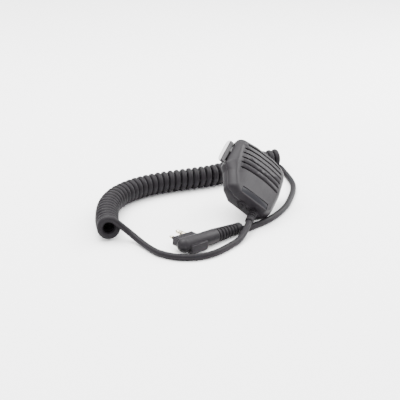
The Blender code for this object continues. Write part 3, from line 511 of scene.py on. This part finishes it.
SCREW_PLACES = ((14.5, 9.5), (-14.5, 9.5), (16.4, 51.6), (-16.4, 51.6))
SLOT_HALF_LENGTHS = (17.7, 18.3, 18.9, 18.9, 18.4, 16.6)
SLOT_FIRST_Y = 23.8
SLOT_PITCH = 5.3
SLOT_HALF_WIDTH = 0.75
MOUTH_STEPS = 24
STRIP_Y = (1.6, 6.4)
STRIP_HALF_WIDTH = 12.2
STRIP_RECESS = 1.9                                          # depth at the strip's low edge
WALL = 1.8
FRONT_RIM_Z = 4.95
REAR_RIM_Z = 4.65
PTT_BAR_Y = (-14.3, 13.3)


def crown(x, y):
    """Height of the gently domed front face over the point (x, y)."""
    lowered = x * x / 170.0
    if y < 24.0:
        lowered += 0.72 + 0.11 * (24.0 - y)
    else:
        lowered += (y - 36.0) ** 2 / 200.0
    return CROWN_TOP_Z - lowered


def valley(x, y):
    """Depth of the soft groove that runs down the button's side of the face."""
    here = Vector((x, y))
    nearest = 99.0
    for first, second in zip(VALLEY, VALLEY[1:]):
        along = second - first
        share = min(max((here - first).dot(along) / along.length_squared, 0.0), 1.0)
        nearest = min(nearest, (here - first - along * share).length)
    return VALLEY_DEPTH * math.exp(-(nearest / VALLEY_WIDTH) ** 2)


def front_outer():
    """Rings from the parting line up the side, over the shoulder and across the domed face."""
    shoulder_share, shoulder_z = SHOULDER
    rings = []
    sides = ((0.0, FRONT_RIM_Z), (0.004, 5.1), (0.02, 6.4), (0.05, 7.8), (0.13, 8.8), (0.25, 9.6),
             (0.36, 10.25), (0.48, 10.95), (0.6, 11.7), SHOULDER)
    for share, z in sides:
        outline = rounded(between(PARTING_CORNERS, CREST_CORNERS, share), CORNER_STEPS)
        if share == 0.0:
            outline = moved_in(outline, EDGE_STEP)
        rings.append([(x, y, min(z, crown(x, y) - 0.05)) for x, y in outline])
    for share in (0.8, 0.87, 0.93, 0.97, 1.0):
        outline = rounded(between(PARTING_CORNERS, CREST_CORNERS, share), CORNER_STEPS)
        rise = (share - shoulder_share) / (1 - shoulder_share)
        rise = 0.55 * math.sin(rise * math.pi / 2) + 0.45 * rise
        ring = []
        for x, y in outline:
            low = min(shoulder_z, crown(x, y) - 0.05)
            ring.append((x, y, low + (crown(x, y) - low) * rise - valley(x, y)))
        rings.append(ring)
    crest = rounded(CREST_CORNERS, CORNER_STEPS)
    for scale in (0.97, 0.94, 0.91, 0.88, 0.85, 0.8, 0.72, 0.62, 0.5, 0.36, 0.2, 0.06):
        outline = [(x * scale, FACE_MIDDLE_Y + (y - FACE_MIDDLE_Y) * scale) for x, y in crest]
        rings.append([(x, y, crown(x, y) - valley(x, y)) for x, y in outline])
    return softened(rings, 3, 8)


def softened(rings, first, passes):
    """Rounds the profile across the rings, from the ring numbered first to the last but one."""
    rings = [[Vector(point) for point in ring] for ring in rings]
    for _ in range(passes):
        before = [[point.copy() for point in ring] for ring in rings]
        for index in range(first, len(rings) - 1):
            for k, point in enumerate(before[index]):
                around = (before[index - 1][k] + before[index + 1][k]) / 2
                rings[index][k] = point.lerp(around, 0.5)
    return [[tuple(point) for point in ring] for ring in rings]


def front_inner():
    """Rings of the hollow inside, about a wall's thickness behind the outer ones."""
    rings = []
    for share, z in ((0.0, FRONT_RIM_Z), (0.04, 7.8), (0.45, 9.9), (0.73, 11.2)):
        outline = rounded(between(PARTING_CORNERS, CREST_CORNERS, share), CORNER_STEPS)
        outline = moved_in(outline, WALL)
        rings.append([(x, y, min(z, crown(x, y) - 1.85)) for x, y in outline])
    crest = moved_in(rounded(CREST_CORNERS, CORNER_STEPS), 0.8)
    for scale in (1.0, 0.8, 0.5, 0.1):
        outline = [(x * scale, FACE_MIDDLE_Y + (y - FACE_MIDDLE_Y) * scale) for x, y in crest]
        rings.append([(x, y, crown(x, y) - WALL) for x, y in outline])
    return rings


def slot_shapes():
    """The six through slots, and the wider chamfers that follow the dome round their mouths."""
    through = []
    mouths = []
    for index, half in enumerate(SLOT_HALF_LENGTHS):
        y = SLOT_FIRST_Y + SLOT_PITCH * index
        low, high = y - SLOT_HALF_WIDTH, y + SLOT_HALF_WIDTH
        outline = rounded([(half, low, 0.7), (half, high, 0.7), (-half, high, 0.7),
                           (-half, low, 0.7)], 6)
        through.append(loft([[(px, py, z) for px, py in outline] for z in (8.0, 20.0)]))
        rings = []
        for step in range(MOUTH_STEPS + 1):
            x = (half + 0.5) * (2 * step / MOUTH_STEPS - 1)
            taper = min(1.0, (half + 0.55 - abs(x)) / 0.9) ** 0.5
            z = crown(x, y) - valley(x, y)
            rings.append([(x, y - 0.7 * taper, z - 0.5), (x, y + 0.7 * taper, z - 0.5),
                          (x, y + 1.45 * taper, z + 0.35), (x, y - 1.45 * taper, z + 0.35)])
        mouths.append(loft(rings))
    return joined(*through), joined(*mouths)


def helper(name, shape, place=HOUSING):
    """A passing object that cut() uses and removes."""
    return piece(name, shape, RUBBER_BLACK, place)


def strip_floor():
    return crown(0, STRIP_Y[0]) - STRIP_RECESS


def button_pocket(name, top):
    """Room in a shell's side for the talk bar's travel."""
    low, high = PTT_BAR_Y
    return helper(name, block((-8.0, low - 0.5, -2.6), (0.6, high + 0.5, top)), PTT)


def bore(radius, low, high, sides=32, axis="Z"):
    """A plain cylinder, for holes."""
    return turned([(0, low), (radius, low), (radius, high), (0, high)], sides, axis)


def add_front_shell():
    front = piece("front_shell", loft(front_outer()[::-1] + front_inner()), HOUSING_BLACK, HOUSING)
    through, mouths = slot_shapes()
    low, high = STRIP_Y
    floor = strip_floor()
    recess = block((-STRIP_HALF_WIDTH - 0.3, low - 0.3, floor),
                   (STRIP_HALF_WIDTH + 0.3, high + 0.3, 19.0))
    backing = block((1.2 - STRIP_HALF_WIDTH, 0.5, floor - 1.2),
                    (STRIP_HALF_WIDTH - 1.2, high + 1.0, floor + 0.4))
    cut(front, [helper("backing", backing)], "UNION")
    cut(front, [helper("through", through), helper("mouths", mouths), helper("recess", recess),
                button_pocket("pocket", 4.6),
                helper("gland_hole", bore(3.3, -5.0, 5.0, axis="Y"), GLAND)])
    dress(front, "housing", "housing", "front_case")


def add_rear_shell():
    outer = []
    for share, z in ((0.0, REAR_RIM_Z), (0.0, 4.45), (0.02, 3.0), (0.04, 1.4), (0.1, 0.2),
                     (0.18, -0.7), (0.3, -1.5), (0.45, -2.05), (0.62, -2.5), (0.8, -2.8),
                     (0.92, -2.95), (1.0, -3.0)):
        outline = rounded(between(PARTING_CORNERS, REAR_CORNERS, share), CORNER_STEPS)
        if z == REAR_RIM_Z:
            outline = moved_in(outline, EDGE_STEP)
        outer.append([(x, y, z) for x, y in outline])
    inner = []
    for share, z in ((0.0, REAR_RIM_Z), (0.04, 1.2), (0.3, -0.6), (0.9, -1.2)):
        outline = rounded(between(PARTING_CORNERS, REAR_CORNERS, share), CORNER_STEPS)
        outline = moved_in(outline, WALL)
        inner.append([(x, y, z) for x, y in outline])
    rear = piece("rear_shell", loft(outer[::-1] + inner), HOUSING_BLACK, HOUSING)
    wells = []
    for x, y in SCREW_PLACES:
        well = turned([(0, -4.0), (3.0, -4.0), (3.0, -3.2), (2.7, -2.9), (2.7, -2.0), (1.4, -2.0),
                       (1.4, 4.0), (0, 4.0)], 32)
        bmesh.ops.translate(well, vec=(x, y, 0), verts=well.verts)
        wells.append(well)
    holes = [helper("wells", joined(*wells)),
             helper("pivot", bore(3.0, -4, 1.0, 40), PIVOT),
             helper("jack_hole", bore(2.4, -2, 3, axis="Y"), JACK),
             helper("port", bore(0.5, -2, 3, 16, "Y"), inside(HOUSING, (1.1, 0, 2.6))),
             button_pocket("rear_pocket", 4.7),
             helper("window", block((-4.0, -5.0, -1.7), (4.5, 5.0, 2.4)), PTT),
             helper("rear_gland_hole", bore(3.3, -5, 5, axis="Y"), GLAND)]
    cut(rear, holes)
    dress(rear, "housing", "housing", "rear_case")


def add_strip():
    """The blank plate in its recess; its top follows the dome along the upper edge."""
    low, high = STRIP_Y
    floor = strip_floor()
    sections = []
    for step in range(17):
        x = STRIP_HALF_WIDTH * (step / 8 - 1)
        upper = max(floor + 0.95, crown(x, high) - 0.45)
        sections.append([(x, low, floor + 0.3), (x, low, floor + 0.85), (x, low + 0.15, floor + 0.95),
                         (x, high - 0.15, upper), (x, high, upper - 0.1), (x, high, floor + 0.3)])
    piece("strip_plate", loft(sections), STRIP_BLUE, HOUSING, "housing", ["name_strip"], "strip")


# ---- button -------------------------------------------------------------------------
def bar_outline():
    """The talk bar from outside: straight along the face side, an arc along the rear side."""
    arc = [(-14.3, 3.2, 0), (-13.2, 1.7, 0), (-11.0, 0.4, 0), (-7.0, -0.8, 0), (-1.0, -1.5, 0),
           (5.0, -1.6, 0), (10.0, -1.2, 0), (12.5, 0.2, 0), (13.3, 2.8, 0)]
    points = [(point.x, point.y) for point in spline(arc, 0.7)]
    return points + [(13.3, 3.7), (12.8, 4.2), (6.0, 4.2), (0.0, 4.2), (-7.0, 4.2), (-13.7, 4.2),
                     (-14.3, 3.7)]


def drawn_in(outline, inset, top):
    """The bar's outline (y, z) shrunk by an inset and kept below a top height."""
    middle_y = sum(PTT_BAR_Y) / 2
    half = (PTT_BAR_Y[1] - PTT_BAR_Y[0]) / 2
    return [(middle_y + (y - middle_y) * (1 - inset / half),
             min(2.0 + (z - 2.0) * (1 - inset / 3.6), top)) for y, z in outline]


def add_button():
    outline = bar_outline()
    rings = []
    for inset, x in ((0.25, -0.9), (0.0, -1.2), (0.0, -3.7), (0.12, -4.05), (0.4, -4.2)):
        rings.append([(x, y, z) for y, z in drawn_in(outline, inset, 4.2 - inset)])
    stem = block((-3.0, -4.4, -1.1), (4.2, 4.4, 1.9))
    piece("talk_bar", joined(loft(rings), stem), BUTTON_BLACK, PTT, "ptt", ["ptt_button"], "button")
    rings = []
    for inset, x in ((0.35, -4.25), (0.4, -4.6), (0.65, -5.05), (1.15, -5.45), (1.9, -5.75),
                     (2.7, -5.9), (3.3, -5.95)):
        rings.append([(x, y, z) for y, z in drawn_in(outline, inset, 3.5 - inset * 0.35)])
    # The pad's light grey is a painted highlight for the glossy button face's reflection, not the
    # button's own colour.
    piece("talk_pad", loft(rings), PAD_PAINTED_HIGHLIGHT, PTT, "ptt", ["ptt_pad"], "button_pad", sharp=50)


# ---- bottom end ---------------------------------------------------------------------
GLAND_RING_RADII = (3.4, 3.2, 3.0)
GLAND_RING_PITCH = 2.2


def add_earphone_socket():
    ring = [(2.5, -0.35), (2.5, -0.85), (2.65, -1.0), (3.25, -1.0), (3.5, -0.75), (3.5, -0.3),
            (2.5, -0.35)]
    piece("socket_ring", turned(ring, 48, "Y"), HOUSING_BLACK, JACK, "housing", ["jack_ring"],
          "housing")
    cap = [(0, -1.2), (0.8, -1.22), (1.5, -1.3), (1.95, -1.25), (2.2, -1.0), (2.2, -0.25), (1.5, -0.25),
           (1.5, 6.0), (1.3, 6.6), (0, 6.8)]
    piece("socket_cap", turned(cap, 40, "Y"), RUBBER_BLACK, JACK, "jack_cap", ["jack_cap"], "rubber")


def add_gland():
    """The cord's strain relief: a collar, three grooved rings and a sleeve round the cord."""
    profile = [(0, 4.4), (3.9, 4.4), (3.9, 3.0), (2.9, 3.0), (2.9, -0.9), (3.45, -0.9), (3.6, -1.05),
               (3.6, -1.65), (3.45, -1.8)]
    height = -1.8
    for radius in GLAND_RING_RADII:
        profile += [(radius - 0.6, height - 0.08), (radius - 0.6, height - 0.72),
                    (radius - 0.05, height - 0.8), (radius + 0.1, height - 0.98),
                    (radius + 0.1, height - 2.02), (radius - 0.05, height - GLAND_RING_PITCH)]
        height -= GLAND_RING_PITCH
    profile += [(2.75, height - 0.2), (2.75, height - 0.5), (3.05, height - 0.9), (3.2, height - 1.2),
                (3.2, -11.6), (3.0, -12.0), (2.5, -12.1), (0, -12.1)]
    piece("gland_relief", turned(profile, 40, "Y"), RUBBER_BLACK, GLAND, "housing", ["cord_gland"],
          "rubber", sharp=30)


# ---- plug ---------------------------------------------------------------------------
PLUG_RADIUS = 5.25
PLUG_BARREL = 30.6
PIN_FACE = 11.4
PINS = (("small", 3.3, 1.25, 7.2), ("large", 13.7, 1.75, 12.2))   # name, along, radius, length
BOOT_WIDE, BOOT_NARROW = 5.2, 4.15
BOOT_RINGS = 6


def add_plug_body():
    barrel = [(0, -PLUG_RADIUS)]
    for step in range(1, 9):
        angle = math.pi / 2 * step / 8
        barrel.append((PLUG_RADIUS * math.sin(angle), -PLUG_RADIUS * math.cos(angle)))
    barrel += [(PLUG_RADIUS, 12.0), (PLUG_RADIUS + 0.15, PLUG_BARREL - 1.6),
               (PLUG_RADIUS, PLUG_BARREL - 0.9), (PLUG_RADIUS - 0.5, PLUG_BARREL), (0, PLUG_BARREL)]
    body = piece("plug_body", turned(barrel, 48, "X"), HOUSING_BLACK, PLUG)
    pad = block((1.4, -6.2, -5.7), (17.8, -2.0, 1.4))
    bmesh.ops.bevel(pad, geom=pad.edges[:], offset=0.7, segments=3, affect="EDGES")
    cut(body, [helper("grip", pad, PLUG)], "UNION")
    seat = block((-1.6, 2.6, -3.5), (17.7, 9.0, 3.5))
    cut(body, [helper("seat", seat, PLUG)])
    dress(body, "housing", "housing", "plug_shell")


def add_pin_block():
    head = block((-1.3, 2.9, -3.2), (17.4, PIN_FACE, 3.2))
    bmesh.ops.bevel(head, geom=head.edges[:], offset=0.6, segments=3, affect="EDGES")
    made = piece("pin_block", head, HOUSING_BLACK, PLUG)
    grooves = []
    for number in range(4):
        y = 6.2 + 1.15 * number
        grooves.append(block((-2.0, y, 2.95), (18.0, y + 0.45, 4.0)))
        grooves.append(block((-2.0, y, -4.0), (18.0, y + 0.45, -2.95)))
    sockets = []
    for _, along, radius, _ in PINS:
        hole = bore(radius * 0.7 + 0.3, PIN_FACE - 5, PIN_FACE + 2, axis="Y")
        bmesh.ops.translate(hole, vec=(along, 0, 0), verts=hole.verts)
        sockets.append(hole)
    cut(made, [helper("grooves", joined(*grooves), PLUG),
               helper("sockets", joined(*sockets), PLUG)])
    dress(made, "housing", "housing", "plug_pin_block")


def add_pins():
    """Each pin is a sleeve, a dark band and a tip with its waist, all on one axis."""
    face = PIN_FACE + 0.3
    for name, along, radius, length in PINS:
        place = inside(PLUG, (along, 0, 0))
        groove = length * 0.4
        sleeve = [(0, face - 5.0), (radius * 0.7, face - 5.0), (radius * 0.7, face), (radius, face),
                  (radius, face + groove - 0.15), (radius - 0.12, face + groove), (0, face + groove)]
        piece(f"{name}_sleeve", turned(sleeve, 32, "Y"), GOLD, place, "housing",
              [f"{name}_pin_sleeve"], "contact")
        band = [(0, face + groove + 0.1), (radius, face + groove + 0.1), (radius, face + groove + 0.8),
                (0, face + groove + 0.8)]
        piece(f"{name}_band", turned(band, 32, "Y"), INSULATOR, place, "housing",
              [f"{name}_pin_insulator"], "insulator")
        start = face + groove + 0.9
        end = face + length
        tip = [(0, start), (radius - 0.12, start), (radius, start + 0.15), (radius, end - radius * 2.7),
               (radius * 0.96, end - radius * 2.5), (radius * 0.72, end - radius * 2.1),
               (radius * 0.74, end - radius * 1.9), (radius * 0.86, end - radius * 1.5),
               (radius * 0.86, end - radius * 1.2), (radius * 0.75, end - radius * 0.8),
               (radius * 0.5, end - radius * 0.3), (radius * 0.3, end - 0.08), (0, end)]
        piece(f"{name}_tip", turned(tip, 32, "Y"), GOLD, place, "housing", [f"{name}_pin_tip"],
              "contact")


def add_plug_boot():
    wide, narrow = BOOT_WIDE, BOOT_NARROW
    relief = [(0, PLUG_BARREL + 0.3), (wide - 0.2, PLUG_BARREL + 0.3), (wide, PLUG_BARREL + 0.5)]
    for number in range(BOOT_RINGS):
        start = PLUG_BARREL + 2.3 + 3.2 * number
        radius = wide - (wide - narrow) * (number + 0.5) / BOOT_RINGS
        relief += [(radius, start - 0.12), (radius - 0.2, start + 0.05), (radius - 0.9, start + 0.25),
                   (radius - 0.9, start + 1.25), (radius - 0.2, start + 1.45), (radius, start + 1.62)]
    end = PLUG_BARREL + 25.1
    relief += [(narrow, end - 1.4), (narrow - 0.15, end - 0.7), (3.6, end), (0, end)]
    piece("plug_boot", turned(relief, 40, "X"), RUBBER_BLACK, PLUG, "housing", ["plug_relief"],
          "rubber", sharp=30)


# ---- rear clip and screws -----------------------------------------------------------
def tall(outline, layers):
    """A plate whose outline (x, y) is drawn in by an inset at each (inset, z)."""
    return loft([[(x, y, z) for x, y in moved_in(outline, inset)] for inset, z in layers])


def cross_slot(length, width, low, high):
    return joined(block((-length / 2, -width / 2, low), (length / 2, width / 2, high)),
                  block((-width / 2, -length / 2 + 0.01, low), (width / 2, length / 2, high + 0.01)))


CLIP_HALF_WIDTH = 10.5
DETENT_POINTS = 144
SCREW_THREADS = 9


def add_clip_plate():
    half = CLIP_HALF_WIDTH
    outline = rounded([(half, -24.0, 3.0), (half, 14.0, 4.0), (-half, 14.0, 4.0),
                       (-half, -24.0, 3.0)], 8)
    plate = tall(outline, ((0.3, -5.9), (0.08, -5.82), (0.0, -5.65), (0.0, -4.75), (0.08, -4.58),
                           (0.3, -4.5)))
    ears = []
    for low in (-half, half - 1.5):
        profile = rounded([(-11.6, 11.2, 2.0), (-5.1, 12.2, 0.2), (-5.1, 3.8, 0.2),
                           (-11.6, 4.8, 2.0)], 8)
        rings = []
        for inset, x in ((0.25, low), (0.0, low + 0.25), (0.0, low + 1.25), (0.25, low + 1.5)):
            rings.append([(x, y, z) for z, y in moved_in(profile, -inset)])
        ears.append(loft(rings))
    ribs = [block((x - 0.5, -15.0, -6.35), (x + 0.5, -5.5, -5.8)) for x in (-7.4, -3.7, 3.7, 7.4)]
    for rib in ribs:
        bmesh.ops.bevel(rib, geom=rib.edges[:], offset=0.2, segments=2, affect="EDGES")
    made = piece("clip_back_plate", joined(plate, *ears, *ribs), HOUSING_BLACK, CLIP)
    cut(made, [helper("plate_hole", bore(2.9, -9, 0, 40), CLIP),
               helper("pin_hole", bore(1.3, -15, 15, axis="X"), HINGE)])
    dress(made, "clip", "housing", "clip_plate")


def add_clip_lever():
    inner = CLIP_HALF_WIDTH - 1.8
    section = [(-32.3, 1.4), (-27.0, -0.6), (-4.0, -4.0), (7.6, -4.8), (9.0, -4.6), (9.0, -3.4),
               (2.0, -2.6), (-3.0, -2.5), (-25.5, 1.1), (-30.8, 3.2), (-32.3, 2.8)]
    lever = loft([[(x, y, z) for y, z in section] for x in (-inner, inner)])
    bmesh.ops.bevel(lever, geom=lever.edges[:], offset=0.25, segments=2, affect="EDGES")
    parts = [lever]
    for number in range(5):
        ridge = turned([(0, -6.6), (0.32, -6.4), (0.32, 6.4), (0, 6.6)], 16, "X")
        bmesh.ops.translate(ridge, vec=(0, 2.4 + 1.25 * number, -4.5 - 0.07 * number),
                            verts=ridge.verts)
        parts.append(ridge)
    for number in range(3):
        tooth = turned([(0, -8.2), (0.3, -8.0), (0.3, 8.0), (0, 8.2)], 16, "X")
        bmesh.ops.translate(tooth, vec=(0, -30.6 + 1.4 * number, 3.05 - 0.55 * number),
                            verts=tooth.verts)
        parts.append(tooth)
    for low in (-inner, inner - 3.4):
        parts.append(turned([(0, low), (1.9, low), (2.1, low + 0.2), (2.1, low + 3.2),
                             (1.9, low + 3.4), (0, low + 3.4)], 40, "X"))
        parts.append(block((low + 0.02, -1.6, -3.2), (low + 3.38, 1.6, -1.2)))
    jaw = piece("clip_lever", joined(*parts), HOUSING_BLACK, HINGE)
    cut(jaw, [helper("jaw_bore", bore(1.3, -15, 15, axis="X"), HINGE)])
    dress(jaw, "clip_jaw", "housing", "clip_jaw")


def add_pivot():
    """The notched detent plate, the wave washer and the pivot screw."""
    edge = circle(9.0, DETENT_POINTS)
    notched = [(x * 0.955, y * 0.955) if k % 6 in (1, 2) else (x, y) for k, (x, y) in enumerate(edge)]
    hole = circle(3.1, DETENT_POINTS)
    rings = [[(x, y, z) for x, y in ring] for z, ring in
             ((-4.2, notched), (-3.3, notched), (-3.3, hole), (-4.2, hole))]
    piece("detent_plate", loft(rings, closed=True), DARK_STEEL, PIVOT, "housing",
          ["clip_detent_plate"], "dark_steel")
    rings = []
    for radius, low in ((4.2, -6.55), (4.2, -6.25), (2.9, -6.25), (2.9, -6.55)):
        rings.append([(x, y, low + 0.05 * math.sin(3 * math.tau * k / 72))
                      for k, (x, y) in enumerate(circle(radius, 72))])
    piece("wave_washer", loft(rings, closed=True), STEEL, PIVOT, "housing", ["clip_wave_washer"],
          "steel")
    stud = turned([(0, 0.4), (2.5, 0.4), (2.6, 0.3), (2.6, -6.9), (4.2, -6.9), (4.4, -7.1), (4.4, -7.4),
                   (4.1, -7.7), (3.2, -7.8), (0, -7.8)], 48)
    screw = piece("pivot_screw", stud, STEEL, PIVOT)
    cut(screw, [helper("pivot_slot", cross_slot(4.6, 0.9, -9.0, -7.2), PIVOT)])
    dress(screw, "housing", "steel", "clip_pivot_screw")


def add_case_screws():
    for number, (x, y) in enumerate(SCREW_PLACES, 1):
        place = inside(HOUSING, (x, y, 0), (0, 0, 17.0 * number))
        profile = [(0, -3.0), (1.7, -3.0), (2.2, -2.85), (2.4, -2.6), (2.4, -2.3), (1.1, -2.3)]
        for step in range(SCREW_THREADS):
            profile += [(1.1, -2.2 + 1.1 * step), (0.88, -1.65 + 1.1 * step)]
        profile += [(1.0, 7.9), (0, 9.0)]
        made = piece(f"screw_{number}", turned(profile, 32), DARK_STEEL, place)
        cut(made, [helper("screw_slot", cross_slot(2.9, 0.55, -4.0, -2.5), place)])
        dress(made, "housing", "dark_steel", f"case_screw_{number}")


def add_hinge_pin():
    pin = turned([(0, -11.4), (1.5, -11.4), (1.7, -11.2), (1.7, -10.8), (1.0, -10.8), (1.0, 10.8),
                  (1.7, 10.8), (1.7, 11.2), (1.5, 11.4), (0, 11.4)], 32, "X")
    piece("hinge_pin", pin, STEEL, HINGE, "clip", ["clip_hinge_pin"], "steel")


SPRING_HALF_LENGTH = 4.2
SPRING_RADIUS = 1.65
SPRING_WIRE_RADIUS = 0.32
SPRING_TURNS = 9
SPRING_STEPS = 24


def add_spring():
    """The torsion spring round the hinge pin, with a leg towards the plate and one to the jaw."""
    points = [Vector((-SPRING_HALF_LENGTH, -4.6, 2.6)), Vector((-SPRING_HALF_LENGTH, -2.0, 2.1))]
    count = SPRING_TURNS * SPRING_STEPS
    for step in range(count + 1):
        angle = math.tau * step / SPRING_STEPS
        points.append(Vector((SPRING_HALF_LENGTH * (2 * step / count - 1),
                              -SPRING_RADIUS * math.sin(angle), SPRING_RADIUS * math.cos(angle))))
    points += [Vector((SPRING_HALF_LENGTH, -2.0, 1.2)), Vector((SPRING_HALF_LENGTH, -4.4, -1.2))]
    spring = tube("spring", [point * MM for point in points], SPRING_WIRE_RADIUS, 3, STEEL)
    spring.matrix_world = HINGE
    dress(spring, "clip", "steel", "clip_spring")


# ---- pieces kept as they are --------------------------------------------------------
CARRIED = {"case_gasket": RUBBER_BLACK, "speaker_basket": STEEL, "speaker_cone": CONE_PAPER,
           "speaker_magnet": STEEL, "grille_felt": FELT, "circuit_board": BOARD_GREEN,
           "board_capacitor": STEEL, "board_chip": INSULATOR, "microphone_capsule": STEEL,
           "capsule_boot": RUBBER_BLACK, "earphone_jack": INSULATOR, "cord_clamp": INSULATOR,
           "ptt_seal": RUBBER_BLACK, "ptt_switch": INSULATOR}


def dress_carried():
    for name, skin in CARRIED.items():
        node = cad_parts[name]
        node.data.materials.clear()
        node.data.materials.append(skin)


add_camera()
add_studio()
add_front_shell()
add_rear_shell()
add_strip()
add_button()
add_earphone_socket()
add_gland()
add_plug_body()
add_pin_block()
add_pins()
add_plug_boot()
add_clip_plate()
add_clip_lever()
add_pivot()
add_case_screws()
add_hinge_pin()
add_spring()
dress_carried()
CORD, CORD_START = add_cord()
